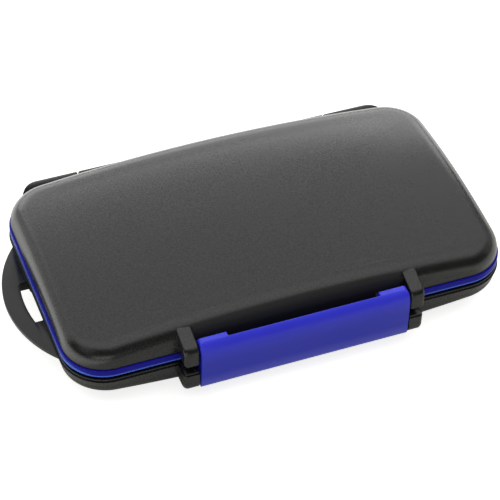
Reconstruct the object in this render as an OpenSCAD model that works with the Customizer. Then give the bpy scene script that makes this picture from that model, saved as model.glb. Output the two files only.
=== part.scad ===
// Memory card case: a crowned clamshell with a seal band, two card trays,
// a front latch on a steel pin, two rear hinges and a lanyard loop.
// Lengths in millimetres. X runs along the case, +Y points to the hinges, +Z up.
// The origin is the middle of the flat pad that the closed case rests on.

/* [Case body] */
// Length of the closed case at the seam, without the loop
case_l = 107.8; // [104:0.1:130]
// Width of the closed case at the seam, without latch and hinges
case_w = 60.8; // [58.5:0.1:76]
// Radius of the corners seen from above
corner_r = 10.4; // [8.5:0.1:11.5]
// Height of the seam above the resting pad
seam_z = 10.2; // [9.8:0.1:13]
// Wall thickness from the seam outline to the cavity
side_wall = 3; // [2.8:0.1:3.2]
// Thickness of the crowned top and bottom skins
skin = 1.9; // [1.6:0.1:2.2]

/* [Lid shell] */
// Height of the lid's crown above the seam
lid_h = 12.15; // [11.8:0.05:15]
// Drop of the lid's crown towards the two ends
lid_crown_l = 3.75; // [2.5:0.05:4]
// Drop of the lid's crown towards front and back
lid_crown_w = 2.6; // [1.6:0.05:2.8]
// Radius of the shoulder between the lid's top and its walls
lid_shoulder_r = 4.9; // [4:0.1:5.2]
// How far the lid's wall stands inside the seal band
lid_inset = 0.38; // [0.2:0.02:0.6]

/* [Base shell] */
// Drop of the base's crown towards the two ends
base_crown_l = 3.45; // [2.4:0.05:3.8]
// Drop of the base's crown towards front and back
base_crown_w = 2.3; // [1.6:0.05:2.7]
// Radius between the base's bottom and its walls
base_edge_r = 3.2; // [2.6:0.1:3.6]
// How far the base's wall stands outside the seal band
base_proud = 0.18; // [0.1:0.02:0.5]
// Inward lean of the base's wall from rim to bottom edge
base_draft = 0.45; // [0.2:0.05:0.7]
// Depth cut off the base's crown to make the resting pad
pad_cut = 0.5; // [0.3:0.05:0.7]
// Depth of the base's outer rim below the seal band
rim_drop = 1.5; // [1.3:0.05:1.8]
// Height of the set-back lip on the base's rim
lip_h = 0.6; // [0.4:0.05:0.7]
// How far that lip is set back from the wall
lip_set = 0.32; // [0.2:0.02:0.5]

/* [Seal ring] */
// Height of the seal band that shows at the seam
band_h = 2.04; // [1.6:0.02:2.4]
// Radius of the band's lower outer edge
band_edge_r = 0.45; // [0.2:0.05:0.6]
// Radius of the band's upper outer edge
band_top_r = 0.15; // [0.1:0.05:0.3]
// Distance from the seam outline to the seal's tongue and bead
tongue_in = 1.3; // [1.1:0.05:1.4]
// Width of the tongue in the lid's rim groove and of the bead below
tongue_w = 0.9; // [0.7:0.05:1.1]
// Height of the tongue above the band
tongue_h = 1.1; // [0.8:0.05:1.4]

/* [Card trays] */
// Length of a full-size memory card
card_l = 32; // [31:0.5:33]
// Width of a full-size memory card
card_w = 24; // [22:0.5:24.5]
// Thickness of a full-size memory card
card_t = 2.1; // [1.8:0.1:2.3]
// Length of a micro card
micro_l = 15; // [14:0.5:16]
// Width of a micro card
micro_w = 11; // [10:0.5:12]
// Thickness of a micro card
micro_t = 1; // [0.7:0.1:1.2]
// Play round a card in its pocket, each side
card_play = 0.3; // [0.2:0.05:0.35]
// Wall between two pockets
pocket_gap = 2.4; // [1.8:0.1:2.6]
// Thickness of a tray under its pockets
tray_floor = 0.8; // [0.6:0.05:0.85]
// Half of the gap between the two trays in the closed case
tray_gap = 0.3; // [0.25:0.05:0.5]
// Play between a tray's rim and the cavity wall
tray_play = 0.3; // [0.2:0.05:0.5]
// Radius of the thumb notch of a full-size pocket
notch_r = 5.4; // [4:0.2:6]
// Thickness of the ribs that carry the trays
rib_t = 1.2; // [0.9:0.1:1.8]

/* [Latch] */
// Width of the latch
latch_w = 50.7; // [40:0.5:56]
// Thickness of the latch plate
latch_t = 1.8; // [1.4:0.1:2]
// Height of the latch's top above the seam
latch_rise = 6.7; // [6.2:0.1:7.2]
// Radius of the curve from the latch's front to its top
latch_bend_r = 2.8; // [2.2:0.1:3]
// Radius of the latch's barrel round its pin
barrel_r = 2.5; // [2.3:0.05:2.6]
// Distance of the latch's axis in front of the seam outline
latch_out = 2; // [1.95:0.05:2.4]
// Depth of the latch's axis below the seam
latch_drop = 4.7; // [4.5:0.05:5]
// Width of the hooked tab at each end of the latch
tab_w = 6.8; // [4:0.2:9]
// Radius of the latch's corners seen from the front
latch_corner_r = 1.1; // [0.4:0.1:2]
// Radius of the latch pin
latch_pin_r = 0.75; // [0.6:0.05:0.9]
// Width of the posts beside the latch
post_w = 3.55; // [2.8:0.05:4.5]
// Gap between the latch and the posts
post_gap = 0.4; // [0.25:0.05:0.6]
// Radius of an upper post's outer front corner
post_corner_r = 0.8; // [0.4:0.1:1]
// Radius of the upper posts' top front edge
post_nose_r = 1; // [0.4:0.1:1.2]
// Radius of the lower posts' front and bottom corners
post_foot_r = 1.1; // [0.5:0.1:1.3]

/* [Hinges] */
// Distance from the case's end to a hinge's outer end
hinge_end_set = 4.9; // [3:0.1:8]
// Length of the lid's knuckle
lid_knuckle_l = 11.4; // [10:0.2:14]
// Length of the base's knuckle with its rounded end
base_knuckle_l = 16.1; // [13:0.1:17]
// Gap between the two knuckles of a hinge
knuckle_gap = 0.7; // [0.4:0.05:0.8]
// Outer radius of the knuckles
knuckle_r = 3; // [2.6:0.05:3.1]
// Radius of a hinge's rounded outer end seen from above
hinge_end_r = 10; // [6:0.1:12]
// Radius of the hinge pins
hinge_pin_r = 0.9; // [0.7:0.05:1.1]
// Depth of the hinge axis below the seam
hinge_drop = 0.9; // [0.8:0.05:1.2]

/* [Lanyard loop] */
// How far the loop stands out from the case's end
loop_out = 6.85; // [6.6:0.05:9]
// Radius of the loop's curved edge
loop_r = 29; // [20:0.1:32]
// Offset of the loop from the case's middle towards the hinges
loop_shift = 0.5; // [0:0.1:2]
// Depth of the loop's upper face below the seam
loop_drop = 2.2; // [2:0.05:2.8]
// Thickness of the loop at its outer edge
loop_edge_t = 0.9; // [0.7:0.05:1.4]
// Thickness of the loop beside its slot
loop_t = 2.6; // [2:0.1:3.4]
// Width of the loop's band outside its slot
loop_band = 4.3; // [3:0.1:4.6]
// Length of the lanyard slot along the case's end
slot_l = 13.2; // [9:0.1:16]
// Radius of the slot's outer side
slot_r = 31; // [24:0.5:40]
// Depth of the slot's relief into the base's end wall
slot_relief = 1.7; // [1.6:0.05:1.8]

/* [Fits] */
// Radial clearance of a pin in the piece that turns on it
run_fit = 0.05; // [0.02:0.01:0.1]
// Radial clearance of a pin in the piece that holds it
hold_fit = 0.02; // [0.01:0.01:0.05]
// Gap between faces that seat on each other
seat_gap = 0.03; // [0.02:0.01:0.08]
// Gap between pieces that pass each other
pass_gap = 0.3; // [0.2:0.05:0.35]

/* [Hidden] */
$fn = 64;
eps = 0.01;

shell_black = [0.17, 0.17, 0.17];
seal_blue = [0.13, 0.13, 0.5];
latch_blue = [0.2, 0.2, 0.68];
tray_blue = [0.16, 0.18, 0.55];
pin_steel = [0.75, 0.76, 0.78];

half_l = case_l / 2;
half_w = case_w / 2;
base_h = seam_z + pad_cut;
cavity_l = half_l - side_wall;
cavity_w = half_w - side_wall;
bead_h = rim_drop - lip_h - seat_gap;

// Depth of the pockets, from each tray's face
card_depth = card_t + card_play;
micro_depth = micro_t + card_play;
tray_depth = card_depth + tray_floor;
rib_seat = tray_gap + tray_depth + seat_gap;
rib_sink = 0.6;

// Pocket corners, and how far a thumb notch reaches out of its pocket
pocket_r = 0.8;
notch_out = 0.55;
micro_notch_r = 2.4;

// How far the rim's lip keeps off the cavity
lip_back = 0.1;

// Posts beside the latch: set-back of their fronts, height of the upper post's top and underside,
// and how far the lower post's rounding lies above the latch's axis
lid_post_set = 0.3;
base_post_set = 0.15;
base_post_lift = 0.3;
lid_post_rise = 0.65;
lid_post_fall = 0.4;
lid_post_low = 0.5;

// Ledges under the latch's tabs
ledge_out = 0.7;
ledge_t = 0.5;
ledge_gap = 0.1;

// Webs of the hinge knuckles: foot on the wall, rise on the lid and fall on the base
web_foot = 1.2;
web_rise = 3.4;
web_fall = 2.2;

// Latch tabs: rear edge in front of the seam outline, and thickness less than the plate
tab_back = 0.9;
tab_thin = 0.4;

// Pins: chamfer at their ends, rest of post beyond the blind end and set-back of the open end
pin_chamfer = 0.2;
pin_blind = 0.8;
pin_set = 0.3;

// Axes, measured from the middle of the seam
latch_y = -(half_w + latch_out);
latch_front = latch_y - barrel_r;
hinge_y = half_w + base_proud + knuckle_r + pass_gap;
post_in = latch_w / 2 + post_gap;
post_out = post_in + post_w;
hinge_out = half_l - hinge_end_set;
hinge_split = hinge_out - base_knuckle_l;
hinge_in = hinge_split - knuckle_gap - lid_knuckle_l;

// Where posts, webs and loop root into the walls, and how far they keep off the seal band
wall_sink = 0.6;
root_y = half_w - side_wall + wall_sink;
root_x = half_l - side_wall + 2 * wall_sink;
band_clear = 0.15;
seat_z = band_h + seat_gap;

// Steps of the lofted shells: points of an outline, then places and angles of the rings
arc_n = 10;
long_n = 13;
short_n = 7;
ring_n = 4 * (arc_n + 1) + 2 * (long_n - 1) + 2 * (short_n - 1);
crown_shares = [0.2, 0.46, 0.73];
shoulder_angles = [90, 75, 60, 45, 30, 15, 0];
inner_angles = [0, 30, 60, 90];
inner_shares = [0.66, 0.32];
inner_r_least = 1.2;

// Rounded rectangle with exact arcs, inset from the seam outline
module plan(inset) {
    r = corner_r - inset;
    x = half_l - corner_r;
    y = half_w - corner_r;
    square([2 * x, 2 * (y + r)], center = true);
    square([2 * (x + r), 2 * y], center = true);
    for (sx = [-1, 1], sy = [-1, 1])
        translate([sx * x, sy * y])
            circle(r = r);
}

// Flat ring between two insets of the seam outline
module plan_ring(outer, inner) {
    difference() {
        plan(outer);
        plan(inner);
    }
}

// Carries a profile round the seam outline: X runs outwards from the outline, Y upwards
module round_seam() {
    x = half_l - corner_r;
    y = half_w - corner_r;
    for (turn = [0, 180])
        rotate(turn) {
            translate([half_l, y, 0])
                rotate([90, 0, 0])
                    linear_extrude(2 * y)
                        children();
            translate([x, half_w, 0])
                rotate([90, 0, -90])
                    mirror([1, 0, 0])
                        linear_extrude(2 * x)
                            children();
            translate([x, y, 0])
                rotate_extrude(angle = 90)
                    translate([corner_r, 0])
                        children();
            translate([x, -y, 0])
                rotate(-90)
                    rotate_extrude(angle = 90)
                        translate([corner_r, 0])
                            children();
        }
}

// Points of one corner, then of a whole rounded outline
function corner_points(cx, cy, r, start) =
    [for (i = [0:arc_n]) [cx + r * cos(start + 90 * i / arc_n), cy + r * sin(start + 90 * i / arc_n)]];

function side_points(p, q, n) = [for (i = [1:n - 1]) p + (q - p) * i / n];

function outline_points(inset) =
    let (
        x = half_l - corner_r,
        y = half_w - corner_r,
        r = corner_r - inset,
        a = corner_points(x, y, r, 0),
        b = corner_points(-x, y, r, 90),
        c = corner_points(-x, -y, r, 180),
        d = corner_points(x, -y, r, 270)
    )
    concat(a, side_points(a[arc_n], b[0], long_n), b, side_points(b[arc_n], c[0], short_n),
           c, side_points(c[arc_n], d[0], long_n), d, side_points(d[arc_n], a[0], short_n));

// How far a crowned skin lies below its middle at a point
function crown_drop(p, crown_l, crown_w) =
    crown_l * pow(p[0] / half_l, 2) + crown_w * pow(p[1] / half_w, 2);

// A ring on the crown: an inset outline drawn in by share
function crown_ring(inset, top, crown_l, crown_w, share) =
    [for (p = outline_points(inset) * share) [p[0], p[1], top - crown_drop(p, crown_l, crown_w)]];

// A ring on the shoulder, which hangs from the crown's edge: angle 0 at the wall, 90 at the crown
function shoulder_ring(inset, top, crown_l, crown_w, r, angle) =
    let (
        edge = outline_points(inset + r),
        ring = outline_points(inset + r * (1 - cos(angle)))
    )
    [for (k = [0:ring_n - 1])
        [ring[k][0], ring[k][1], top - crown_drop(edge[k], crown_l, crown_w) - r * (1 - sin(angle))]];

function rim_ring(inset, z) = [for (p = outline_points(inset)) [p[0], p[1], z]];

// Triangles between two neighbouring rings
function band_faces(i) =
    [for (k = [0:ring_n - 1])
        let (m = (k + 1) % ring_n, p = i * ring_n, q = p + ring_n)
        each [[p + k, p + m, q + m], [p + k, q + m, q + k]]];

// Half shell that opens downwards at z = rim: a crowned skin with a rounded shoulder and open inside
module half_shell(top, crown_l, crown_w, outer, edge_r, draft, rim) {
    inner_r = max(edge_r - side_wall, inner_r_least);
    inner_top = top - skin;
    plateau = outer + draft + edge_r;
    inner_plateau = side_wall + inner_r;
    rings = [
        for (s = crown_shares) crown_ring(plateau, top, crown_l, crown_w, s),
        for (a = shoulder_angles) shoulder_ring(outer + draft, top, crown_l, crown_w, edge_r, a),
        rim_ring(outer, rim),
        rim_ring(side_wall, rim),
        for (a = inner_angles) shoulder_ring(side_wall, inner_top, crown_l, crown_w, inner_r, a),
        for (s = inner_shares) crown_ring(inner_plateau, inner_top, crown_l, crown_w, s)
    ];
    count = len(rings);
    ends = [[0, 0, top], [0, 0, inner_top]];
    first = count * ring_n;
    last = (count - 1) * ring_n;
    faces = concat(
        [for (i = [0:count - 2]) each band_faces(i)],
        [for (k = [0:ring_n - 1]) [first, (k + 1) % ring_n, k]],
        [for (k = [0:ring_n - 1]) [first + 1, last + k, last + (k + 1) % ring_n]]);
    polyhedron(points = concat([for (r = rings) each r], ends), faces = faces);
}

// Upright rib whose upper edge follows the skin, from -reach to reach along the ray at angle turn
module skin_rib(top, crown_l, crown_w, shift, reach, turn) {
    steps = 6;
    upper = top - skin + rib_sink;
    along = [for (i = [-steps:steps]) i / steps * reach];
    edge = [for (t = along)
        let (p = turn == 0 ? [t, shift] : [shift, t])
        [t, upper - crown_drop(p, crown_l, crown_w)]];
    rotate([90, 0, turn])
        translate([0, 0, (turn == 0 ? -shift : shift) - rib_t / 2])
            linear_extrude(rib_t)
                polygon(concat(edge, [[reach, rib_seat], [-reach, rib_seat]]));
}

// Ribs inside a half shell, from its skin down to the tray that they carry
module tray_ribs(top, crown_l, crown_w) {
    rib_x = 0.62 * cavity_l;
    skin_rib(top, crown_l, crown_w, 0, cavity_l - 2 * side_wall, 0);
    for (x = [-rib_x, 0, rib_x])
        skin_rib(top, crown_l, crown_w, x, cavity_w - side_wall, 90);
}

// Extrudes a profile drawn in Y and Z along X
module along_x(from, to) {
    translate([from, 0, 0])
        rotate([90, 0, 90])
            linear_extrude(to - from)
                children();
}

// Round bar along X at the given place in Y and Z
module bar_x(from, to, y, z, r) {
    translate([from, y, z])
        rotate([0, 90, 0])
            cylinder(h = to - from, r = r);
}

// Plan of an upper post: its outer front corner is rounded
module post_plan(front) {
    r = post_corner_r;
    translate([post_in, front + r])
        square([post_w, -root_y - front - r]);
    translate([post_in, front])
        square([post_w - r, r + eps]);
    translate([post_out - r, front + r])
        circle(r = r);
}

// Bar's end of the given width and height with both upper corners rounded
module round_end(width, height, r) {
    square([width, height - r]);
    translate([r, 0])
        square([width - 2 * r, height]);
    for (x = [r, width - r])
        translate([x, height - r])
            circle(r = r);
}

// Upper post beside the latch, part of the lid: its top slopes down to a rounded nose
module lid_post() {
    front = latch_front + lid_post_set;
    clear_y = -(half_w + band_clear);
    under = band_h - lid_post_low;
    wall_z = latch_rise + lid_post_rise;
    front_z = latch_rise - lid_post_fall;
    r = post_nose_r;
    intersection() {
        along_x(post_in, post_out) {
            difference() {
                polygon([[-root_y, seat_z], [clear_y, seat_z], [clear_y, under], [front, under],
                         [front, front_z], [-root_y, wall_z]]);
                translate([front - eps, front_z - r])
                    square([r + eps, 2 * r]);
            }
            translate([front + r, front_z - r])
                circle(r = r);
        }
        linear_extrude(wall_z + r)
            post_plan(front);
    }
}

// Lower post: an upright block and a foot that turn into each other round a rounded disc,
// with the rim's lip on top
module base_post() {
    front = latch_front + base_post_set;
    turn_r = latch_y - front;
    turn_z = base_post_lift - latch_drop;
    r = post_foot_r;
    translate([post_in, -root_y, turn_z])
        mirror([0, 1, 0])
            linear_extrude(-rim_drop - turn_z)
                round_end(post_w, -root_y - front, r);
    translate([post_in, -root_y, turn_z])
        rotate([90, 0, 0])
            mirror([0, 1, 0])
                linear_extrude(-root_y - latch_y)
                    round_end(post_w, turn_r, r);
    translate([post_in, latch_y, turn_z])
        rotate([0, 90, 0])
            rotate_extrude()
                rotate(90)
                    mirror([0, 1])
                        round_end(post_w, turn_r, r);
    translate([0, 0, -rim_drop - eps])
        linear_extrude(lip_h + eps)
            translate([post_in, front + lip_set])
                square([post_w - lip_set, -root_y - front - lip_set]);
}

// Ledge on the lid's front wall that the latch's tab closes over
module catch_ledge() {
    inner = half_w - lid_inset - 1;
    outer = half_w + ledge_out;
    top = latch_rise - latch_t - ledge_gap;
    along_x(latch_w / 2 - tab_w, post_in + eps)
        polygon([[-inner, top - ledge_t - (outer - inner)], [-outer, top - ledge_t],
                 [-outer, top], [-inner, top]]);
}

// Plan of a hinge half from the wall outwards, with its outer end rounded
module hinge_plan(from, to, end_r) {
    back = hinge_y + knuckle_r;
    translate([from, root_y])
        square([to - from - end_r, back - root_y]);
    intersection() {
        translate([to - end_r, root_y])
            square([end_r, back - root_y]);
        translate([to - end_r, back - end_r])
            circle(r = end_r);
    }
}

// Knuckle of the lid with its web up to the lid's rear wall
module lid_knuckle() {
    clear_y = half_w + band_clear;
    top_z = knuckle_r - hinge_drop;
    to = hinge_in + lid_knuckle_l;
    bar_x(hinge_in, to, hinge_y, -hinge_drop, knuckle_r);
    along_x(hinge_in, to)
        polygon([[root_y, seat_z], [clear_y, seat_z], [clear_y, seat_z - knuckle_r / 2],
                 [hinge_y, -hinge_drop], [hinge_y, top_z], [root_y + web_foot, seat_z + web_rise],
                 [root_y, seat_z + web_rise]]);
}

// Knuckle of the base with its web down to the base's rear wall, rounded at the outer end
module base_knuckle() {
    web_top = -rim_drop - seat_gap;
    low_z = -hinge_drop - knuckle_r;
    foot_z = low_z - web_fall;
    intersection() {
        union() {
            bar_x(hinge_split, hinge_out, hinge_y, -hinge_drop, knuckle_r);
            along_x(hinge_split, hinge_out)
                polygon([[root_y, web_top], [hinge_y, web_top], [hinge_y, low_z],
                         [root_y + web_foot, foot_z], [root_y, foot_z]]);
        }
        translate([0, 0, foot_z])
            linear_extrude(knuckle_r - hinge_drop - foot_z)
                hinge_plan(hinge_split, hinge_out, hinge_end_r);
    }
}

// Lanyard loop: a crescent plate that thins towards its outer edge
module loop_plate() {
    edge = 0.2;
    flat = loop_band + loop_r / 4;
    centre = -(half_l + loop_out) + loop_r;
    translate([centre, loop_shift, -loop_drop])
        intersection() {
            rotate_extrude()
                polygon([[loop_r - flat, 0], [loop_r - edge, 0], [loop_r, -edge],
                         [loop_r, -loop_edge_t], [loop_r - loop_band, -loop_t],
                         [loop_r - flat, -loop_t]]);
            translate([-loop_r, -loop_r, -loop_t])
                cube([loop_r - root_x - centre, 2 * loop_r, loop_t]);
        }
}

// Slot in the loop with its relief in the base's end wall
module loop_slot() {
    outer = -(half_l + loop_out - loop_band);
    relief = -(half_l - slot_relief);
    top = -rim_drop - 3 * seat_gap;
    translate([0, loop_shift / 2, -base_h])
        linear_extrude(base_h + top)
            intersection() {
                translate([outer + slot_r, 0])
                    circle(r = slot_r, $fn = 160);
                translate([relief - slot_r, -slot_l / 2])
                    square([slot_r, slot_l]);
            }
}

module both_ends() {
    children();
    mirror([1, 0, 0])
        children();
}

// Lower half: crowned shell with its lip, posts, hinge knuckles and lanyard loop
module base_shell() {
    pin_hole_r = latch_pin_r + hold_fit;
    hinge_hole_r = hinge_pin_r + hold_fit;
    hinge_hole_out = hinge_out - hinge_end_r / 2;
    color(shell_black)
        translate([0, 0, seam_z])
            difference() {
                union() {
                    mirror([0, 0, 1]) {
                        half_shell(base_h, base_crown_l, base_crown_w, -base_proud, base_edge_r,
                                   base_draft, rim_drop);
                        tray_ribs(base_h, base_crown_l, base_crown_w);
                    }
                    translate([0, 0, -rim_drop - eps])
                        linear_extrude(lip_h + eps)
                            plan_ring(lip_set - base_proud, side_wall - lip_back);
                    both_ends() {
                        base_post();
                        base_knuckle();
                    }
                    loop_plate();
                }
                translate([-case_l, -case_w, -seam_z - base_h])
                    cube([2 * case_l, 2 * case_w, base_h]);
                bar_x(-post_in, post_in, latch_y, -latch_drop, barrel_r + pass_gap);
                bar_x(-post_out + pin_blind, post_out + eps, latch_y, -latch_drop, pin_hole_r);
                both_ends()
                    bar_x(hinge_split - eps, hinge_hole_out, hinge_y, -hinge_drop, hinge_hole_r);
                loop_slot();
            }
}

// Upper half: crowned shell with the seal's groove, posts, ledges and hinge knuckles
module lid_shell() {
    groove_in = tongue_in - seat_gap;
    groove_w = tongue_w + 2 * seat_gap;
    color(shell_black)
        translate([0, 0, seam_z])
            difference() {
                union() {
                    half_shell(lid_h, lid_crown_l, lid_crown_w, lid_inset, lid_shoulder_r, 0, seat_z);
                    tray_ribs(lid_h, lid_crown_l, lid_crown_w);
                    both_ends() {
                        lid_post();
                        catch_ledge();
                        lid_knuckle();
                    }
                }
                translate([0, 0, band_h])
                    linear_extrude(tongue_h + seat_gap)
                        plan_ring(groove_in, groove_in + groove_w);
                both_ends()
                    bar_x(hinge_in - eps, hinge_split, hinge_y, -hinge_drop, hinge_pin_r + run_fit);
            }
}

// Section of the seal ring: band with rounded outer edges, tongue above and bead below
module seal_section() {
    r = band_edge_r;
    t = band_top_r;
    translate([-side_wall, 0])
        square([side_wall - r, band_h - t]);
    translate([-side_wall, r])
        square([side_wall - t, band_h - r]);
    translate([-side_wall, r])
        square([side_wall, band_h - r - t]);
    translate([-r, r])
        circle(r = r);
    translate([-t, band_h - t])
        circle(r = t);
    translate([-tongue_in - tongue_w, -bead_h])
        square([tongue_w, bead_h + band_h + tongue_h]);
}

module seal_ring() {
    color(seal_blue)
        translate([0, 0, seam_z])
            round_seam()
                seal_section();
}

// Pocket for one card with its lower left corner at the origin, cut down from z = 0
module pocket(l, w, depth, notch, notch_side) {
    r = pocket_r;
    translate([0, 0, -depth])
        linear_extrude(depth + eps) {
            translate([r, 0])
                square([l - 2 * r, w]);
            translate([0, r])
                square([l, w - 2 * r]);
            for (x = [r, l - r], y = [r, w - r])
                translate([x, y])
                    circle(r = r);
            if (notch_side == "back")
                translate([l / 2, w - notch * (1 - notch_out)])
                    circle(r = notch);
            if (notch_side == "right")
                translate([l - notch * (1 - notch_out), w / 2])
                    circle(r = notch);
        }
}

// Tray with its face up at z = 0: a row of card pockets, and micro pockets in front and beside
module card_tray() {
    play = 2 * card_play;
    full = [card_w + play, card_l + play];
    micro = [micro_l + play, micro_w + play];
    row_l = 3 * full[0] + 2 * pocket_gap;
    all = [row_l + pocket_gap + micro[0], full[1] + pocket_gap + micro[1]];
    left = -all[0] / 2;
    front = -all[1] / 2;
    front_pitch = (row_l - micro[0]) / 3;
    side_pitch = (all[1] - micro[1]) / 2;
    difference() {
        translate([0, 0, -tray_depth])
            linear_extrude(tray_depth)
                plan(side_wall + tray_play);
        for (i = [0:2])
            translate([left + i * (full[0] + pocket_gap), front + micro[1] + pocket_gap, 0])
                pocket(full[0], full[1], card_depth, notch_r, "back");
        for (i = [0:3])
            translate([left + i * front_pitch, front, 0])
                pocket(micro[0], micro[1], micro_depth, micro_notch_r, "right");
        for (i = [0:2])
            translate([left + row_l + pocket_gap, front + i * side_pitch, 0])
                pocket(micro[0], micro[1], micro_depth, 0, "none");
    }
}

module base_tray() {
    color(tray_blue)
        translate([0, 0, seam_z - tray_gap])
            card_tray();
}

module lid_tray() {
    color(tray_blue)
        translate([0, 0, seam_z + tray_gap])
            mirror([0, 0, 1])
                card_tray();
}

// Side profile of the latch without its tabs: barrel, plate and bend
module latch_profile() {
    bend_y = latch_front + latch_bend_r;
    bend_z = latch_rise - latch_bend_r;
    translate([latch_y, -latch_drop])
        circle(r = barrel_r);
    translate([latch_front, -latch_drop])
        square([latch_t, bend_z + latch_drop]);
    intersection() {
        difference() {
            translate([bend_y, bend_z])
                circle(r = latch_bend_r);
            translate([bend_y, bend_z])
                circle(r = latch_bend_r - latch_t);
        }
        translate([latch_front, bend_z])
            square([latch_bend_r, latch_bend_r]);
    }
}

// Front view of the latch: a rectangle with rounded corners
module latch_front_view() {
    r = latch_corner_r;
    low = -latch_drop - barrel_r;
    translate([-latch_w / 2 + r, low])
        square([latch_w - 2 * r, latch_rise - low]);
    translate([-latch_w / 2, low + r])
        square([latch_w, latch_rise - low - 2 * r]);
    for (x = [-latch_w / 2 + r, latch_w / 2 - r], z = [low + r, latch_rise - r])
        translate([x, z])
            circle(r = r);
}

module latch() {
    back_y = -(half_w + tab_back);
    tab_t = latch_t - tab_thin;
    bend_y = latch_front + latch_bend_r;
    deep_y = latch_y + barrel_r;
    color(latch_blue)
        translate([0, 0, seam_z])
            difference() {
                intersection() {
                    union() {
                        along_x(-latch_w / 2, latch_w / 2)
                            latch_profile();
                        both_ends()
                            along_x(latch_w / 2 - tab_w, latch_w / 2)
                                translate([bend_y - eps, latch_rise - tab_t])
                                    square([back_y - bend_y + eps, tab_t]);
                    }
                    translate([0, deep_y, 0])
                        rotate([90, 0, 0])
                            linear_extrude(deep_y - latch_front)
                                latch_front_view();
                }
                bar_x(-latch_w, latch_w, latch_y, -latch_drop, latch_pin_r + run_fit);
            }
}

// Dowel pin along X with a small chamfer at each end
module dowel(from, to, r) {
    c = pin_chamfer;
    translate([from, 0, 0])
        rotate([0, 90, 0]) {
            cylinder(h = c, r1 = r - c, r2 = r);
            translate([0, 0, c])
                cylinder(h = to - from - 2 * c, r = r);
            translate([0, 0, to - from - c])
                cylinder(h = c, r1 = r, r2 = r - c);
        }
}

module latch_pin() {
    color(pin_steel)
        translate([0, latch_y, seam_z - latch_drop])
            dowel(-post_out + pin_blind + seat_gap, post_out - pin_set, latch_pin_r);
}

// Hinge pin of the right side: open at the lid's knuckle, blind in the base's
module hinge_pin() {
    hole_out = hinge_out - hinge_end_r / 2;
    color(pin_steel)
        translate([0, hinge_y, seam_z - hinge_drop])
            dowel(hinge_in + pin_set, hole_out - seat_gap, hinge_pin_r);
}

module hinge_pin_left() {
    mirror([1, 0, 0])
        hinge_pin();
}

module hinge_pin_right() {
    hinge_pin();
}

base_shell();
lid_shell();
seal_ring();
base_tray();
lid_tray();
latch();
latch_pin();
hinge_pin_left();
hinge_pin_right();
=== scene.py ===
"""Memory card case: a crowned black clamshell with a blue seal band and a wide blue latch."""
import math

import bmesh
import bpy
from mathutils import Matrix, Vector


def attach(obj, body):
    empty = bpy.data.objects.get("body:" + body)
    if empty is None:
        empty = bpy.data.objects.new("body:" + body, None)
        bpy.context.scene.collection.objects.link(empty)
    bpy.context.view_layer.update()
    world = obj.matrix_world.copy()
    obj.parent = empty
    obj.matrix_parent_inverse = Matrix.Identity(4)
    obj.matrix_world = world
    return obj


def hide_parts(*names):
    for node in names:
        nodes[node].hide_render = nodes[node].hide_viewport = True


MM = 0.001
ops = bpy.ops

# Sizes in millimetres, the same as the construction's own
HALF_L, HALF_W, CORNER = 53.9, 30.4, 10.4
SEAM_Z = 10.2
SIDE_WALL = 3.0
SHOULDER_LIFT = 0.46  # raises the shoulder's inner edge with the crown's slope, so that no crease shows
LID_TOP, LID_CROWN, LID_SHOULDER, LID_INSET = 12.15, (3.75, 2.6), 4.9, 0.38
BASE_TOP, BASE_CROWN, BASE_EDGE, BASE_PROUD, BASE_DRAFT = 10.7, (3.45, 2.3), 3.2, 0.18, 0.45
BAND_H, RIM_DROP, SEAT_Z = 2.04, 1.5, 2.07
TRAY_ROOM = 3.65
LATCH_Y, LATCH_Z, LATCH_FRONT, LATCH_RISE = -32.4, -4.7, -34.9, 6.7
LATCH_HALF, LATCH_T, BARREL_R = 25.35, 1.8, 2.5
LATCH_BEND, LATCH_LEAN, LATCH_CREST = 5.0, 50, 7.1
TAB_W, TAB_BACK = 6.8, -31.9
POST_IN, POST_OUT = 25.75, 29.3
HINGE_Y, HINGE_Z, KNUCKLE_R = 33.88, -0.9, 3.0
HINGE_IN, HINGE_MID, HINGE_SPLIT, HINGE_OUT = 20.8, 32.2, 32.9, 49.0
HINGE_END_R = 10.0
LOOP_R, LOOP_OUT, LOOP_Y, LOOP_Z, LOOP_EDGE, LOOP_T = 29.0, 60.75, 0.5, -2.2, 0.9, 2.6
SLOT_L, SLOT_R, SLOT_BAND, SLOT_RELIEF = 13.2, 31.0, 4.3, 1.7


# Hand tools
def clear_selection():
    if bpy.context.object and bpy.context.object.mode != "OBJECT":
        ops.object.mode_set(mode="OBJECT")
    ops.object.select_all(action="DESELECT")


def begin(name):
    """Names the primitive just added and opens it in edit mode with all of it selected."""
    piece = bpy.context.object
    piece.name = name
    piece.data.name = name
    ops.object.transform_apply(location=True, rotation=True, scale=True)
    ops.object.mode_set(mode="EDIT")
    ops.mesh.select_all(action="SELECT")
    return piece


def edit(piece):
    clear_selection()
    bpy.context.view_layer.objects.active = piece
    piece.select_set(True)
    ops.object.mode_set(mode="EDIT")
    ops.mesh.select_all(action="DESELECT")


def pick(piece, kind, test):
    """Selects the faces, edges or verts that pass the test; places are given in millimetres."""
    ops.mesh.select_mode(type={"faces": "FACE", "edges": "EDGE", "verts": "VERT"}[kind])
    ops.mesh.select_all(action="DESELECT")
    work = bmesh.from_edit_mesh(piece.data)
    found = 0
    for item in getattr(work, kind):
        if test(item):
            item.select_set(True)
            found += 1
    work.select_flush_mode()
    bmesh.update_edit_mesh(piece.data)
    return found


def at(vert):
    return vert.co / MM


def middle(item):
    return sum((at(v) for v in item.verts), Vector()) / len(item.verts)


def extrude(x=0.0, y=0.0, z=0.0):
    ops.mesh.extrude_region_move(TRANSFORM_OT_translate={"value": (x * MM, y * MM, z * MM)})


def round_edges(radius, segments, kind="EDGES", clamp=True):
    ops.mesh.bevel(offset=radius * MM, segments=segments, affect=kind, clamp_overlap=clamp)


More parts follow.
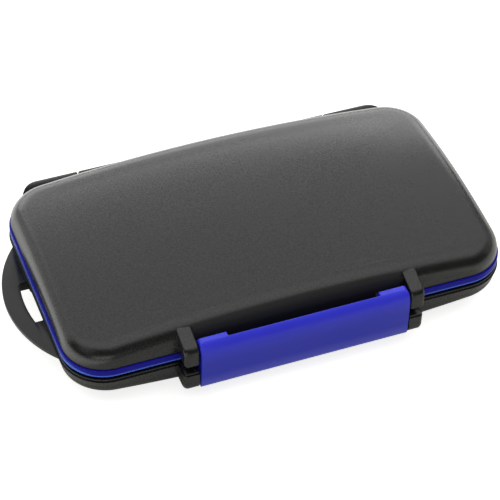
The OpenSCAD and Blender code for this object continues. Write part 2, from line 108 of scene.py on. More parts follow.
def close_up(piece, weld=0.0005):
    """Merges doubles, turns the normals outwards and goes back to object mode."""
    ops.mesh.select_mode(type="VERT")
    ops.mesh.select_all(action="SELECT")
    ops.mesh.remove_doubles(threshold=weld * MM)
    ops.mesh.normals_make_consistent(inside=False)
    ops.object.mode_set(mode="OBJECT")
    return piece


def smooth(piece, degrees=32):
    clear_selection()
    piece.select_set(True)
    bpy.context.view_layer.objects.active = piece
    ops.object.shade_smooth_by_angle(angle=math.radians(degrees))
    return piece


def apply_all(piece):
    clear_selection()
    piece.select_set(True)
    bpy.context.view_layer.objects.active = piece
    for modifier in list(piece.modifiers):
        ops.object.modifier_apply(modifier=modifier.name)


def soften(piece, width, segments=3, degrees=40):
    """Rounds every sharp edge of a finished piece, as a mould does."""
    bevel = piece.modifiers.new("Mould radius", "BEVEL")
    bevel.width = width * MM
    bevel.segments = segments
    bevel.limit_method = "ANGLE"
    bevel.angle_limit = math.radians(degrees)
    bevel.use_clamp_overlap = True
    apply_all(piece)


def carve(piece, tool, how="DIFFERENCE"):
    """Cuts or trims the piece with a tool, which is then thrown away."""
    cut = piece.modifiers.new("Cut", "BOOLEAN")
    cut.operation = how
    cut.solver = "EXACT"
    cut.object = tool
    apply_all(piece)
    bpy.data.objects.remove(tool)


def side_bar(name, outline, x0, x1):
    """A bar along X: its side view is laid out point by point in Y and Z, then extruded."""
    clear_selection()
    ops.mesh.primitive_circle_add(vertices=len(outline), radius=1, fill_type="NGON")
    piece = begin(name)
    work = bmesh.from_edit_mesh(piece.data)
    for vert, (y, z) in zip(list(work.verts), outline):
        vert.co = Vector((x0, y, z)) * MM
    bmesh.update_edit_mesh(piece.data)
    extrude(x=x1 - x0)
    return close_up(piece)


def upright(name, outline, z0, z1):
    """A prism along Z whose plan is laid out point by point in X and Y."""
    clear_selection()
    ops.mesh.primitive_circle_add(vertices=len(outline), radius=1, fill_type="NGON")
    piece = begin(name)
    work = bmesh.from_edit_mesh(piece.data)
    for vert, (x, y) in zip(list(work.verts), outline):
        vert.co = Vector((x, y, z0)) * MM
    bmesh.update_edit_mesh(piece.data)
    extrude(z=z1 - z0)
    return close_up(piece)


def arc(cy, cz, r, start, end, steps):
    return [(cy + r * math.cos(math.radians(start + (end - start) * i / steps)),
             cz + r * math.sin(math.radians(start + (end - start) * i / steps)))
            for i in range(steps + 1)]


def mirrored(piece, name):
    """A copy of a piece for the other end of the case."""
    twin = piece.copy()
    twin.data = piece.data.copy()
    twin.name = twin.data.name = name
    bpy.context.collection.objects.link(twin)
    edit(twin)
    ops.mesh.select_all(action="SELECT")
    ops.transform.resize(value=(-1, 1, 1), center_override=(0, 0, 0))
    ops.mesh.flip_normals()
    ops.object.mode_set(mode="OBJECT")
    return twin


def lift(piece, z=SEAM_Z):
    """Moves a piece, drawn about the seam plane, to its height."""
    edit(piece)
    ops.mesh.select_all(action="SELECT")
    ops.transform.translate(value=(0, 0, z * MM))
    ops.object.mode_set(mode="OBJECT")
    return piece


# The crowned shells and the seam
def crown_drop(x, y, crown):
    return crown[0] * (x / HALF_L) ** 2 + crown[1] * (y / HALF_W) ** 2


def crown_slope(x, y, crown):
    """How steeply the crown falls where it meets the shoulder, square to the outline."""
    out_x, out_y = max(abs(x) - HALF_L + CORNER, 0), max(abs(y) - HALF_W + CORNER, 0)
    fall = 2 * crown[0] * abs(x) / HALF_L ** 2 * out_x + 2 * crown[1] * abs(y) / HALF_W ** 2 * out_y
    return fall / math.hypot(out_x, out_y)


def on_outline(x, y, inset):
    px, py = nearest_inside(x * 1.001, y * 1.001, inset)
    return abs(px - x * 1.001) + abs(py - y * 1.001) > 0.001


def nearest_inside(x, y, inset):
    """The point of the inset rounded outline that a point outside it hangs from."""
    bx, by, r = HALF_L - CORNER, HALF_W - CORNER, CORNER - inset
    dx, dy = max(abs(x) - bx, 0), max(abs(y) - by, 0)
    reach = math.hypot(dx, dy)
    if reach > r:
        dx, dy = dx * r / reach, dy * r / reach
    return (math.copysign(min(abs(x), bx) + dx, x), math.copysign(min(abs(y), by) + dy, y))


def crowned_shell(name, top, crown, edge_r, outer, draft, rim, arcs=14, steps=10):
    """Half shell, open downwards: wall, rounded shoulder and crowned skin from one rounded plate."""
    clear_selection()
    ops.mesh.primitive_plane_add(size=2, location=(0, 0, rim * MM))
    plate = bpy.context.object
    plate.scale = ((HALF_L - outer) * MM, (HALF_W - outer) * MM, 1)
    piece = begin(name)
    round_edges(CORNER - outer, arcs, "VERTICES")
    for axis, cuts in ((0, 15), (1, 8)):
        pick(piece, "edges", lambda e: abs((at(e.verts[0]) - at(e.verts[1]))[axis]) > 15)
        ops.mesh.subdivide(number_cuts=cuts)
    pick(piece, "faces", lambda f: True)
    rise = top - edge_r - rim
    for i in range(4):
        ops.mesh.inset(thickness=max(draft / 4, 0.0001) * MM, depth=rise / 4 * MM, use_even_offset=True)
    for i in range(steps):
        a, b = (math.radians(90 * k / steps) for k in (i, i + 1))
        ops.mesh.inset(thickness=edge_r * (math.cos(a) - math.cos(b)) * MM,
                       depth=edge_r * (math.sin(b) - math.sin(a)) * MM, use_even_offset=True)
    share = 1.0
    for nxt in (0.94, 0.86, 0.76, 0.64, 0.5, 0.36, 0.22, 0.1):
        extrude()
        ops.transform.resize(value=(nxt / share, nxt / share, 1), center_override=(0, 0, top * MM))
        share = nxt
    ops.mesh.poke()
    work = bmesh.from_edit_mesh(piece.data)
    shoulder = top - edge_r
    for vert in work.verts:
        x, y, z = at(vert)
        px, py = nearest_inside(x, y, outer + draft + edge_r)
        part = min(max((z - rim) / (shoulder - rim), 0), 1)
        vert.co.z -= crown_drop(px, py, crown) * part * MM
        if z > top - 0.001 and on_outline(x, y, outer + draft + edge_r):
            vert.co.z += SHOULDER_LIFT * crown_slope(x, y, crown) * MM
    bmesh.update_edit_mesh(piece.data)
    pick(piece, "edges", lambda e: e.is_boundary)
    ops.mesh.edge_face_add()
    pick(piece, "faces", lambda f: len(f.verts) > 30)
    ops.mesh.normals_make_consistent(inside=False)
    ops.mesh.inset(thickness=(SIDE_WALL - outer) * MM, depth=0, use_even_offset=True)
    extrude(z=TRAY_ROOM + 0.35 - rim)
    return close_up(piece)


def seam_sweep(name, corners, rounds):
    """Carries a section round the seam outline. Corners are (inset, z); rounds are (index, radius)."""
    clear_selection()
    ops.mesh.primitive_circle_add(vertices=len(corners), radius=1, fill_type="NGON")
    piece = begin(name)
    bx, by = HALF_L - CORNER, HALF_W - CORNER
    work = bmesh.from_edit_mesh(piece.data)
    for vert, (inset, z) in zip(work.verts, corners):
        vert.co = Vector((bx, HALF_W - inset, z)) * MM
    bmesh.update_edit_mesh(piece.data)
    for index, radius in rounds:
        spot = corners[index]
        pick(piece, "verts", lambda v: (at(v) - Vector((bx, HALF_W - spot[0], spot[1]))).length < 0.001)
        round_edges(radius, 5, "VERTICES")
    pick(piece, "faces", lambda f: True)
    ops.mesh.delete(type="ONLY_FACE")
    ops.mesh.select_mode(type="EDGE")
    ops.mesh.select_all(action="SELECT")
    run = [(-2 * bx, 0), (0, -2 * by), (2 * bx, 0), (0, 2 * by)]
    centres = [(-bx, by), (-bx, -by), (bx, -by), (bx, by)]
    for (dx, dy), (cx, cy) in zip(run, centres):
        extrude(x=dx, y=dy)
        ops.mesh.spin(steps=14, angle=-math.pi / 2, center=(cx * MM, cy * MM, 0), axis=(0, 0, 1))
    return close_up(piece, 0.002)


# Shell, latch and seal pieces
def lid_cover():
    cover = crowned_shell("lid_cover", LID_TOP, LID_CROWN, LID_SHOULDER, LID_INSET, 0, SEAT_Z)
    return smooth(lift(cover), 40)


def base_tub():
    tub = crowned_shell("base_tub", BASE_TOP, BASE_CROWN, BASE_EDGE, -BASE_PROUD, BASE_DRAFT, RIM_DROP)
    edit(tub)
    ops.mesh.select_all(action="SELECT")
    ops.transform.rotate(value=math.pi, orient_axis="X", center_override=(0, 0, 0))
    ops.mesh.bisect(plane_co=(0, 0, -SEAM_Z * MM), plane_no=(0, 0, 1), clear_inner=True, use_fill=True,
                    threshold=0.000001)
    close_up(tub)
    carve(tub, slot_tool())
    return smooth(lift(tub), 40)


def slot_tool():
    """The lanyard slot's prism: a curved outer side, and its relief in the case's end."""
    outer, relief = -(LOOP_OUT - SLOT_BAND), -(HALF_L - SLOT_RELIEF)
    cx, half = outer + SLOT_R, SLOT_L / 2
    lean = math.degrees(math.asin(half / SLOT_R))
    bow = [(cx - SLOT_R * math.cos(math.radians(a)), LOOP_Y / 2 - SLOT_R * math.sin(math.radians(a)))
           for a in [lean * (1 - 2 * i / 16) for i in range(17)]]
    plan = bow + [(relief, LOOP_Y / 2 + half), (relief, LOOP_Y / 2 - half)]
    return upright("slot_tool", plan, -BASE_TOP - 1, -RIM_DROP - 0.09)


def lanyard_loop():
    """Crescent plate: a disc, thinned from below towards its edge, and cut off behind the end wall."""
    centre = LOOP_R - LOOP_OUT
    clear_selection()
    ops.mesh.primitive_circle_add(vertices=160, radius=LOOP_R * MM, fill_type="NGON",
                                  location=(centre * MM, LOOP_Y * MM, LOOP_Z * MM))
    loop = begin("lanyard_loop")
    extrude(z=-LOOP_EDGE)
    pick(loop, "faces", lambda f: len(f.verts) > 30 and middle(f).z < LOOP_Z - 0.5)
    ops.mesh.normals_make_consistent(inside=False)
    ops.mesh.inset(thickness=SLOT_BAND * MM, depth=0)
    ops.transform.translate(value=(0, 0, (LOOP_EDGE - LOOP_T) * MM))
    ops.mesh.select_all(action="SELECT")
    ops.mesh.bisect(plane_co=(-51.9 * MM, 0, 0), plane_no=(1, 0, 0), clear_outer=True, use_fill=True,
                    threshold=0.000001)
    close_up(loop)
    carve(loop, slot_tool())
    soften(loop, 0.22, 3, 50)
    return smooth(lift(loop), 30)


def lid_post():
    front = LATCH_FRONT + 0.3
    post = side_bar("lid_post_right", [(-28.6, SEAT_Z), (-30.52, SEAT_Z), (-30.52, 1.54), (front, 1.54),
                                       (front, LATCH_RISE - 0.4), (-27.0, LATCH_RISE + 1.85), (-28.0, 5.5)],
                    POST_IN, POST_OUT)
    edit(post)
    pick(post, "edges", lambda e: abs(middle(e).y - front) < 0.01 and abs(middle(e).z - LATCH_RISE + 0.4) < 0.01)
    round_edges(1.7, 8)
    for side, radius in ((POST_OUT, 0.8), (POST_IN, 0.4)):
        pick(post, "edges", lambda e: all(abs(at(v).x - side) < 0.001 for v in e.verts)
             and (middle(e).y < -30.6 or middle(e).z > 6))
        round_edges(radius, 5, clamp=False)
    close_up(post)
    return smooth(lift(post), 40)


def base_post():
    front = LATCH_FRONT + 0.15
    turn = LATCH_Y - front
    foot = 0.3 + LATCH_Z - turn
    post = side_bar("base_post_right",
                    [(-28.6, -RIM_DROP), (front, -RIM_DROP)] + arc(LATCH_Y, foot + turn, turn, 180, 270, 10)
                    + [(-28.6, foot)], POST_IN, POST_OUT)
    edit(post)
    pick(post, "edges", lambda e: all(abs(at(v).x - POST_OUT) < 0.01 for v in e.verts)
         and middle(e).z < -RIM_DROP - 0.01 and middle(e).y < -28.7)
    round_edges(1.1, 5)
    close_up(post)
    lip = side_bar("lip_tool", [(-28.6, -RIM_DROP - 0.2), (front + 0.32, -RIM_DROP - 0.2),
                                (front + 0.32, -RIM_DROP + 0.6), (-28.6, -RIM_DROP + 0.6)],
                   POST_IN, POST_OUT - 0.32)
    soften(lip, 0.15, 2)
    clear_selection()
    lip.select_set(True)
    post.select_set(True)
    bpy.context.view_layer.objects.active = post
    ops.object.join()
    return smooth(lift(post), 40)


def catch_ledge():
    top = LATCH_RISE - LATCH_T - 0.1
    ledge = side_bar("catch_ledge_right", [(-29.0, top - 2.6), (-31.1, top - 0.5), (-31.1, top), (-29.0, top)],
                     LATCH_HALF - TAB_W, POST_IN + 0.01)
    soften(ledge, 0.12, 2)
    return smooth(lift(ledge))


def lid_knuckle():
    knuckle = side_bar("lid_knuckle_right", arc(HINGE_Y, HINGE_Z, KNUCKLE_R, 0, 90, 12)
                       + [(30.4, SEAT_Z + 3.35), (29.4, SEAT_Z + 3.35), (29.4, SEAT_Z), (30.55, SEAT_Z),
                          (30.55, 0.6)]
                       + arc(HINGE_Y, HINGE_Z, KNUCKLE_R, 160, 345, 24), HINGE_IN, HINGE_MID)
    carve(knuckle, pin_tool(HINGE_Y, HINGE_Z, 0.95, HINGE_IN - 1, HINGE_MID + 1))
    soften(knuckle, 0.25, 3, 50)
    return smooth(lift(knuckle))


def base_knuckle():
    low = HINGE_Z - KNUCKLE_R
    knuckle = side_bar("base_knuckle_right", [(29.4, -1.53), (30.85, -1.53)]
                       + arc(HINGE_Y, HINGE_Z, KNUCKLE_R, 192, -90, 36)
                       + [(30.5, low - 2.2), (29.4, low - 2.2)], HINGE_SPLIT, HINGE_OUT)
    back = HINGE_Y + KNUCKLE_R
    swept_end = [(x, y) for y, x in arc(back - HINGE_END_R, HINGE_OUT - HINGE_END_R, HINGE_END_R, 0, 75.6, 18)]
    plan = [(HINGE_SPLIT - 1, 29), (HINGE_SPLIT - 1, back + 0.01)] + swept_end + [(HINGE_OUT, 29)]
    carve(knuckle, upright("end_tool", plan, -9, 4), "INTERSECT")
    carve(knuckle, pin_tool(HINGE_Y, HINGE_Z, 0.92, HINGE_SPLIT - 1, HINGE_OUT - 5))
    soften(knuckle, 0.25, 3, 50)
    return smooth(lift(knuckle))


def pin_tool(y, z, r, x0, x1):
    return side_bar("pin_tool", arc(y, z, r, 0, 348.75, 31), x0, x1)


def latch_plate():
    """Barrel and leaning plate as one bar in three lengths; the end lengths grow the rearward tabs."""
    bend_y, bend_z = LATCH_FRONT + LATCH_BEND, LATCH_CREST - LATCH_BEND * math.sin(math.radians(LATCH_LEAN))
    over = arc(bend_y, bend_z, LATCH_BEND, 180, 180 - LATCH_LEAN, 16)
    under = arc(bend_y, bend_z, LATCH_BEND - LATCH_T, 180 - LATCH_LEAN + 4, 180, 10)
    outline = (over + under + [(LATCH_FRONT + LATCH_T, LATCH_Z + 2.42)]
               + arc(LATCH_Y, LATCH_Z, BARREL_R, 106, -180, 40))
    lip_y, lip_z = (over[-1][0] + under[0][0]) / 2, (over[-1][1] + under[0][1]) / 2
    cut = LATCH_HALF - TAB_W
    plate = side_bar("latch_plate", outline, -LATCH_HALF, -cut)
    edit(plate)
    for x, step in ((-cut, 2 * cut), (cut, TAB_W)):
        pick(plate, "faces", lambda f: all(abs(at(v).x - x) < 0.001 for v in f.verts))
        extrude(x=step)
    pick(plate, "faces", lambda f: abs(middle(f).y - lip_y) < 0.001 and abs(middle(f).z - lip_z) < 0.001
         and abs(middle(f).x) > cut)
    extrude(y=TAB_BACK - over[-1][0])
    close_up(plate)
    low, r = LATCH_Z - BARREL_R, 1.1
    front = []
    for sx, sz, a0 in ((1, 1, 0), (-1, 1, 90), (-1, -1, 180), (1, -1, 270)):
        cz = LATCH_CREST - r if sz > 0 else low + r
        front += [(sx * (LATCH_HALF - r) + r * math.cos(math.radians(a)), cz + r * math.sin(math.radians(a)))
                  for a in [a0 + 90 * i / 8 for i in range(9)]]
    clear_selection()
    ops.mesh.primitive_circle_add(vertices=len(front), radius=1, fill_type="NGON")
    mask = begin("front_tool")
    work = bmesh.from_edit_mesh(mask.data)
    for vert, (x, z) in zip(list(work.verts), front):
        vert.co = Vector((x, -36, z)) * MM
    bmesh.update_edit_mesh(mask.data)
    extrude(y=8)
    close_up(mask)
    carve(plate, mask, "INTERSECT")
    carve(plate, pin_tool(LATCH_Y, LATCH_Z, 0.8, -30, 30))
    soften(plate, 0.3, 3, 34)
    return smooth(lift(plate), 30)


def seal_band():
    section = [(0, 0), (0, BAND_H), (1.3, BAND_H), (1.3, BAND_H + 1.1), (2.2, BAND_H + 1.1), (2.2, BAND_H),
               (2.97, BAND_H), (2.97, 0), (2.2, 0), (2.2, -0.85), (1.2, -0.85), (1.2, 0)]
    band = seam_sweep("seal_band", section, [(0, 0.45), (1, 0.15)])
    return smooth(lift(band), 40)


def rim_lip():
    section = [(0.14, -RIM_DROP - 0.2), (0.14, -RIM_DROP + 0.6), (2.9, -RIM_DROP + 0.6), (2.9, -RIM_DROP - 0.2)]
    lip = seam_sweep("rim_lip", section, [(1, 0.15)])
    return smooth(lift(lip), 40)


# Building the case round the frame
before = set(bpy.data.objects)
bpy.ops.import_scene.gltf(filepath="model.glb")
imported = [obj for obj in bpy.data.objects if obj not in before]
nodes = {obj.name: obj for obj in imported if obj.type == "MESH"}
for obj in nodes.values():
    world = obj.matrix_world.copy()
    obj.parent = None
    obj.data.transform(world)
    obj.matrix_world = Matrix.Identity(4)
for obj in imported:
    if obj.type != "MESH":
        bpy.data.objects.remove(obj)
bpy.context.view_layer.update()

lid_pieces = [lid_cover(), lid_post(), catch_ledge(), lid_knuckle()]
base_pieces = [base_tub(), rim_lip(), lanyard_loop(), base_post(), base_knuckle()]
seal = seal_band()
latch = latch_plate()
for group in (lid_pieces, base_pieces):
    for piece in list(group):
        if piece.name.endswith("_right"):
            group.append(mirrored(piece, piece.name.replace("_right", "_left")))


# Plastics, silicone and steel
def node_group(name, inputs, outputs):
    group = bpy.data.node_groups.new(name, "ShaderNodeTree")
    for label, kind, value in inputs:
        socket = group.interface.new_socket(label, in_out="INPUT", socket_type="NodeSocket" + kind)
        if value is not None:
            socket.default_value = value
    for label, kind in outputs:
        group.interface.new_socket(label, in_out="OUTPUT", socket_type="NodeSocket" + kind)
    return group, group.nodes.new("NodeGroupInput"), group.nodes.new("NodeGroupOutput")


def add(tree, kind, **values):
    """Adds a shader node; plain values are set on it, tuples of (node, socket) are linked to it."""
    node = tree.nodes.new("ShaderNode" + kind)
    for key, value in values.items():
        if key.startswith("in_"):
            name = key[3:].replace("_", " ")
            socket = node.inputs[int(name)] if name.isdigit() else node.inputs[name]
            if isinstance(value, tuple) and len(value) == 2 and hasattr(value[0], "outputs"):
                tree.links.new(value[0].outputs[value[1]], socket)
            else:
                socket.default_value = value
        else:
            setattr(node, key, value)
    return node


def moulded_grain():
    """Spark-eroded mould grain: fine pebbling over a slower ripple, with uneven gloss and dull smears."""
    group, inp, out = node_group(
        "Moulded grain",
        [("Grain size", "Float", 0.4), ("Smear", "Float", 0.3), ("Roughness", "Float", 0.5),
         ("Colour", "Color", (0.03, 0.03, 0.03, 1)), ("Variation", "Float", 0.15)],
        [("Colour", "Color"), ("Roughness", "Float"), ("Height", "Float"), ("Sheen", "Float")])
    coord = add(group, "TexCoord")
    size = add(group, "Math", operation="DIVIDE", in_0=1000.0, in_1=(inp, "Grain size"))
    fine = add(group, "TexNoise", in_Vector=(coord, "Object"), in_Scale=(size, 0), in_Detail=3.0,
               in_Roughness=0.6)
    pebble = add(group, "TexVoronoi", feature="SMOOTH_F1", in_Vector=(coord, "Object"), in_Scale=(size, 0),
                 in_Smoothness=0.6)
    slow = add(group, "TexNoise", in_Vector=(coord, "Object"), in_Scale=55.0, in_Detail=4.0)
    cloud = add(group, "TexNoise", in_Vector=(coord, "Object"), in_Scale=28.0, in_Detail=3.0,
                in_Distortion=0.6)
    mixed = add(group, "Math", operation="MULTIPLY_ADD", in_0=(pebble, "Distance"), in_1=0.6,
                in_2=(fine, "Fac"))
    height = add(group, "Math", operation="MULTIPLY_ADD", in_0=(slow, "Fac"), in_1=0.5, in_2=(mixed, 0))
    group.links.new(height.outputs[0], out.inputs["Height"])
    patch = add(group, "MapRange", in_0=(cloud, "Fac"), in_1=0.35, in_2=0.7, in_3=-0.5, in_4=0.5)
    shift = add(group, "Math", operation="MULTIPLY", in_0=(patch, 0), in_1=(inp, "Smear"))
    speck = add(group, "MapRange", in_0=(fine, "Fac"), in_1=0.3, in_2=0.7, in_3=-0.03, in_4=0.03)
    both = add(group, "Math", operation="ADD", in_0=(shift, 0), in_1=(speck, 0))
    rough = add(group, "Math", operation="ADD", in_0=(both, 0), in_1=(inp, "Roughness"), use_clamp=True)
    group.links.new(rough.outputs[0], out.inputs["Roughness"])
    tone = add(group, "MapRange", in_0=(fine, "Fac"), in_1=0.3, in_2=0.7, in_3=-0.5, in_4=0.5)
    scale = add(group, "Math", operation="MULTIPLY_ADD", in_0=(tone, 0), in_1=(inp, "Variation"), in_2=1.0)
    tint = add(group, "VectorMath", operation="SCALE", in_0=(inp, "Colour"), in_Scale=(scale, 0))
    group.links.new(tint.outputs[0], out.inputs["Colour"])
    glint = add(group, "MapRange", in_0=(fine, "Fac"), in_1=0.35, in_2=0.68, in_3=0.2, in_4=1.8)
    group.links.new(glint.outputs[0], out.inputs["Sheen"])
    return group


def fine_scratches():
    """Thin handling scratches: long stretched noise, thresholded to sparse hairlines."""
    group, inp, out = node_group("Fine scratches", [("Amount", "Float", 0.5)], [("Mask", "Float")])
    coord = add(group, "TexCoord")
    lines = []
    for turn in (0.5, 2.1):
        place = add(group, "Mapping", in_Vector=(coord, "Object"), in_Rotation=(0, 0, turn),
                    in_Scale=(40, 1400, 40))
        noise = add(group, "TexNoise", in_Vector=(place, 0), in_Scale=1.0, in_Detail=1.0)
        lines.append(add(group, "MapRange", in_0=(noise, "Fac"), in_1=0.73, in_2=0.78))
    where = add(group, "TexNoise", in_Vector=(coord, "Object"), in_Scale=35.0, in_Detail=1.0)
    gate = add(group, "MapRange", in_0=(where, "Fac"), in_1=0.5, in_2=0.62)
    most = add(group, "Math", operation="MAXIMUM", in_0=(lines[0], 0), in_1=(lines[1], 0))
    gated = add(group, "Math", operation="MULTIPLY", in_0=(most, 0), in_1=(gate, 0))
    mask = add(group, "Math", operation="MULTIPLY", in_0=(gated, 0), in_1=(inp, "Amount"), use_clamp=True)
    group.links.new(mask.outputs[0], out.inputs["Mask"])
    return group


def plastic(name, colour, roughness, grain_mm, bump_mm, smear, variation, scratch=0.0, coat=0.0, specular=0.5):
    """A moulded plastic or rubber: its colour, how dull it is, and how coarse and deep its grain."""
    material = bpy.data.materials.new(name)
    material.use_nodes = True
    tree = material.node_tree
    shader = tree.nodes["Principled BSDF"]
    grain = tree.nodes.new("ShaderNodeGroup")
    grain.node_tree = GRAIN
    grain.inputs["Grain size"].default_value = grain_mm
    grain.inputs["Smear"].default_value = smear
    grain.inputs["Roughness"].default_value = roughness
    grain.inputs["Colour"].default_value = (*colour, 1)
    grain.inputs["Variation"].default_value = variation
    colour_from = grain.outputs["Colour"]
    if scratch:
        marks = tree.nodes.new("ShaderNodeGroup")
        marks.node_tree = SCRATCHES
        marks.inputs["Amount"].default_value = scratch
        pale = tuple(min(c * 2.2 + 0.03, 1) for c in colour)
        worn = add(tree, "Mix", data_type="RGBA")
        tree.links.new(marks.outputs["Mask"], worn.inputs[0])
        tree.links.new(colour_from, worn.inputs[6])
        worn.inputs[7].default_value = (*pale, 1)
        colour_from = worn.outputs[2]
    bump = add(tree, "Bump", in_Height=(grain, "Height"), in_Strength=1.0, in_Distance=bump_mm * MM)
    tree.links.new(colour_from, shader.inputs["Base Color"])
    tree.links.new(grain.outputs["Roughness"], shader.inputs["Roughness"])
    tree.links.new(bump.outputs[0], shader.inputs["Normal"])
    if coat:
        glint = add(tree, "Math", operation="MULTIPLY", in_0=(grain, "Sheen"), in_1=coat)
        tree.links.new(glint.outputs[0], shader.inputs["Coat Weight"])
    shader.inputs["Coat Roughness"].default_value = 0.25
    shader.inputs["Specular IOR Level"].default_value = specular
    return material


def dull_bay(material):
    """Dulls the lid's wall behind the latch, which shows as plain black there."""
    tree = material.node_tree
    shader = tree.nodes["Principled BSDF"]
    rough, coat = (shader.inputs[name].links[0] for name in ("Roughness", "Coat Weight"))
    place = add(tree, "SeparateXYZ", in_0=(add(tree, "TexCoord"), "Object"))
    aside = add(tree, "Math", operation="ABSOLUTE", in_0=(place, "X"))
    across = add(tree, "MapRange", in_0=(aside, 0), in_1=25.4 * MM, in_2=25.0 * MM)
    ahead = add(tree, "MapRange", in_0=(place, "Y"), in_1=-28.1 * MM, in_2=-29.4 * MM)
    bay = add(tree, "Math", operation="MULTIPLY", in_0=(across, 0), in_1=(ahead, 0))
    dull = add(tree, "Math", operation="MULTIPLY_ADD", in_0=(bay, 0), in_1=0.5,
               in_2=(rough.from_node, rough.from_socket.name))
    bare = add(tree, "Math", operation="SUBTRACT", in_0=(coat.from_node, 0), in_1=(bay, 0), use_clamp=True)
    tree.links.new(dull.outputs[0], shader.inputs["Roughness"])
    tree.links.new(bare.outputs[0], shader.inputs["Coat Weight"])


def painted_light_band(material, z_from, z_to, colour, end_rise=0.0):
    """Paints light into a material's colour: blends it towards another colour between two heights, as for the
    painted highlight on the seal's lower edge, where the floor's light is reflected.

    The painted band stands higher on the case's left end by end_rise.
    """
    tree = material.node_tree
    shader = tree.nodes["Principled BSDF"]
    link = shader.inputs["Base Color"].links[0]
    place = add(tree, "SeparateXYZ", in_0=(add(tree, "TexCoord"), "Object"))
    rise = add(tree, "MapRange", in_0=(place, "X"), in_1=-49 * MM, in_2=-53 * MM, in_3=0.0, in_4=end_rise * MM)
    level = add(tree, "Math", operation="SUBTRACT", in_0=(place, "Z"), in_1=(rise, 0))
    part = add(tree, "MapRange", in_0=(level, 0), in_1=z_from * MM, in_2=z_to * MM)
    mix = add(tree, "Mix", data_type="RGBA")
    tree.links.new(part.outputs[0], mix.inputs[0])
    tree.links.new(link.from_socket, mix.inputs[6])
    mix.inputs[7].default_value = (*colour, 1)
    tree.links.new(mix.outputs[2], shader.inputs["Base Color"])


def drawn_steel():
    material = bpy.data.materials.new("Drawn steel pin")
    material.use_nodes = True
    tree = material.node_tree
    shader = tree.nodes["Principled BSDF"]
    coord = add(tree, "TexCoord")
    place = add(tree, "Mapping", in_Vector=(coord, "Object"), in_Scale=(60, 3000, 3000))
    lines = add(tree, "TexNoise", in_Vector=(place, 0), in_Scale=1.0, in_Detail=3.0)
    rough = add(tree, "MapRange", in_0=(lines, "Fac"), in_3=0.22, in_4=0.42)
    tree.links.new(rough.outputs[0], shader.inputs["Roughness"])
    shader.inputs["Base Color"].default_value = (0.62, 0.63, 0.65, 1)
    shader.inputs["Metallic"].default_value = 1.0
    bump = add(tree, "Bump", in_Height=(lines, "Fac"), in_Strength=0.6, in_Distance=0.005 * MM)
    tree.links.new(bump.outputs[0], shader.inputs["Normal"])
    return material


def finish_in(material, *pieces):
    for piece in pieces:
        piece.data.materials.clear()
        piece.data.materials.append(material)


GRAIN, SCRATCHES = moulded_grain(), fine_scratches()
shell_black = plastic("Satin black shell plastic", (0.0075, 0.0075, 0.0065), 0.29, 0.42, 0.006, 0.05, 0.4,
                      scratch=0.5, coat=0.22)
# Painted shade: a darker, duller copy of the shell plastic on the hinge knuckles, where they show dark in shade.
shaded_hinge_black = plastic("Dull black hinge plastic", (0.006, 0.006, 0.006), 0.5, 0.42, 0.01, 0.06, 0.3, specular=0.15)
smooth_black = plastic("Smooth black plastic", (0.006, 0.006, 0.0055), 0.2, 0.6, 0.004, 0.05, 0.2, scratch=0.4)
dull_bay(shell_black)
seal_blue = plastic("Dark blue silicone", (0.01, 0.008, 0.36), 0.4, 0.6, 0.002, 0.04, 0.05, specular=0.12)
# Painted highlight: a pale blue line on the seal's lower outer edge, standing in for the floor's reflection there.
painted_light_band(seal_blue, SEAM_Z + 0.8, SEAM_Z + 0.45, (0.1, 0.23, 1.0), end_rise=0.55)
# Gives the seal's lowest edge its own blue again, so the painted highlight ends just above it.
painted_light_band(seal_blue, SEAM_Z + 0.1, SEAM_Z - 0.02, (0.01, 0.008, 0.36))
latch_blue = plastic("Blue latch plastic", (0.013, 0.022, 0.6), 0.4, 1.2, 0.002, 0.04, 0.04, coat=0.15)
# Painted reflection: the latch's lower part is paler, where it reflects the lit floor.
painted_light_band(latch_blue, SEAM_Z - 2.5, SEAM_Z - 7.0, (0.14, 0.15, 0.85))
# Painted light: the latch's upper part is a brighter blue, where its bend faces the overhead light.
painted_light_band(latch_blue, SEAM_Z + 1.0, SEAM_Z + 6.5, (0.036, 0.04, 0.84))
tray_blue = plastic("Matte blue tray plastic", (0.03, 0.035, 0.3), 0.5, 0.5, 0.012, 0.15, 0.12)
pin_steel = drawn_steel()


finish_in(shell_black, *lid_pieces, *base_pieces)
finish_in(smooth_black, *[piece for piece in base_pieces if piece.name == "lanyard_loop"])
finish_in(shaded_hinge_black, *[piece for piece in lid_pieces + base_pieces if "knuckle" in piece.name])
finish_in(seal_blue, seal)
finish_in(latch_blue, latch)
finish_in(tray_blue, nodes["base_tray"], nodes["lid_tray"])
finish_in(pin_steel, nodes["latch_pin"], nodes["hinge_pin_left"], nodes["hinge_pin_right"])

for piece in lid_pieces:
    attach(piece, "lid")
for piece in base_pieces:
    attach(piece, "base")
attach(seal, "lid")
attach(latch, "latch")
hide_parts("lid_shell")
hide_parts("base_shell")
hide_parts("seal_ring")
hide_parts("latch")


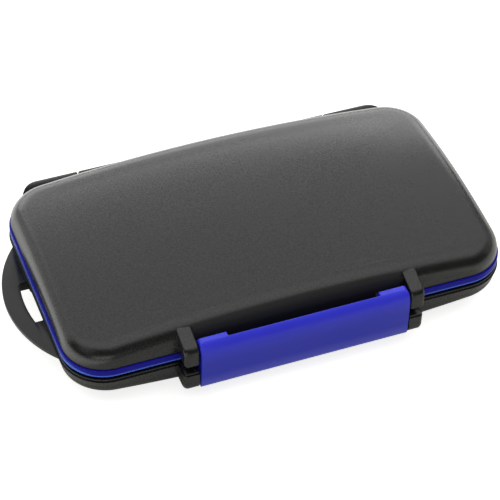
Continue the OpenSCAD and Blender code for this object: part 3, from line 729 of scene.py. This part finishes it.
# Paper floor, studio light and camera
def pale_floor():
    """A wide pale floor that reads as white paper to the camera and keeps the case's shadow."""
    clear_selection()
    ops.mesh.primitive_plane_add(size=4, location=(0, 0, 0))
    floor = bpy.context.object
    floor.name = "floor"
    material = bpy.data.materials.new("White paper floor")
    material.use_nodes = True
    tree = material.node_tree
    shader = tree.nodes["Principled BSDF"]
    shader.inputs["Base Color"].default_value = (0.72, 0.72, 0.66, 1)
    shader.inputs["Roughness"].default_value = 0.9
    shader.inputs["Specular IOR Level"].default_value = 0.1
    glow = add(tree, "Emission", in_Color=(1, 1, 1, 1))
    path = add(tree, "LightPath")
    mirrored_in = add(tree, "Math", operation="MAXIMUM", in_0=(path, "Is Glossy Ray"),
                      in_1=(path, "Is Transmission Ray"))
    place = add(tree, "SeparateXYZ", in_0=(add(tree, "TexCoord"), "Object"))
    left = add(tree, "MapRange", in_0=(place, "X"), in_1=-0.06, in_2=-0.08, in_3=0.03, in_4=FLOOR_ROUND)
    right = add(tree, "MapRange", in_0=(place, "X"), in_1=0.054, in_2=0.064, in_3=0.03, in_4=0.4)
    behind = add(tree, "MapRange", in_0=(place, "Y"), in_1=0.04, in_2=0.05, in_3=0.03, in_4=FLOOR_ROUND)
    ends = add(tree, "Math", operation="MAXIMUM", in_0=(left, 0), in_1=(right, 0))
    round_it = add(tree, "Math", operation="MAXIMUM", in_0=(ends, 0), in_1=(behind, 0))
    soft = add(tree, "Math", operation="MULTIPLY", in_0=(mirrored_in, 0), in_1=(round_it, 0))
    strength = add(tree, "Math", operation="MULTIPLY_ADD", in_0=(path, "Is Camera Ray"), in_1=FLOOR_GLOW,
                   in_2=(soft, 0))
    tree.links.new(strength.outputs[0], glow.inputs["Strength"])
    both = add(tree, "AddShader", in_0=(shader, 0), in_1=(glow, 0))
    tree.links.new(both.outputs[0], tree.nodes["Material Output"].inputs["Surface"])
    floor.data.materials.append(material)


def softbox(name, place, target, size, power, turn=0):
    light = bpy.data.lights.new(name, "AREA")
    light.shape = "RECTANGLE"
    light.size, light.size_y = size
    light.energy = power
    lamp = bpy.data.objects.new(name, light)
    bpy.context.scene.collection.objects.link(lamp)
    lamp.location = place
    lamp.rotation_euler = (Vector(target) - Vector(place)).to_track_quat("-Z", "Y").to_euler()
    lamp.rotation_euler.rotate_axis("Z", math.radians(turn))


FLOOR_GLOW, FLOOR_ROUND = 0.8, 1.1
pale_floor()
world = bpy.data.worlds.new("Studio")
bpy.context.scene.world = world
world.use_nodes = True
world.node_tree.nodes["Background"].inputs["Color"].default_value = (1, 1, 1, 1)
world.node_tree.nodes["Background"].inputs["Strength"].default_value = 0.08
softbox("back strip", (0.23, 1.2, 0.4), (0, 0, 0), (1.86, 0.5), 8.85)
softbox("top softbox", (0.05, 0.45, 1.1), (0.0, 0.38, 0), (2.9, 2.25), 19.5)
softbox("overhead strip", (0.1, -0.2, 1.09), (0.1, -0.2, 0), (2.8, 0.87), 2.35, -7.5)
softbox("left panel", (-1.1, 0.95, 0.5), (0, 0, 0), (1.2, 0.9), 3.0)
softbox("right card", (1.15, 0.12, 0.42), (0, 0, 0), (1.15, 0.5), 0.75)
softbox("left card", (-1.2, -0.45, 0.95), (0, 0, 0), (0.9, 0.8), 0.8)
softbox("front fill", (-0.5, -1.1, 0.3), (0, 0, 0), (1.0, 0.26), 1.4)

azimuth, height, roll = math.radians(-21.96), math.radians(44.31), math.radians(1.83)
back = Vector((math.sin(azimuth) * math.cos(height), -math.cos(azimuth) * math.cos(height), math.sin(height)))
right = Vector((math.cos(azimuth), math.sin(azimuth), 0))
up = back.cross(right)
right, up = (math.cos(roll) * right + math.sin(roll) * up, math.cos(roll) * up - math.sin(roll) * right)
camera_data = bpy.data.cameras.new("Photograph camera")
camera = bpy.data.objects.new("Photograph camera", camera_data)
bpy.context.scene.collection.objects.link(camera)
camera.matrix_world = Matrix.Translation(Vector((-0.12895, -0.31986, 0.34681))) @ Matrix(
    (right, up, back)).transposed().to_4x4()
camera_data.sensor_width = 36
camera_data.lens = 2019.6 / 500 * 36
camera_data.shift_x = -2.78 / 500
camera_data.shift_y = -8.85 / 500
camera_data.clip_start = 0.01
bpy.context.scene.camera = camera
bpy.context.scene.view_settings.view_transform = "Standard"
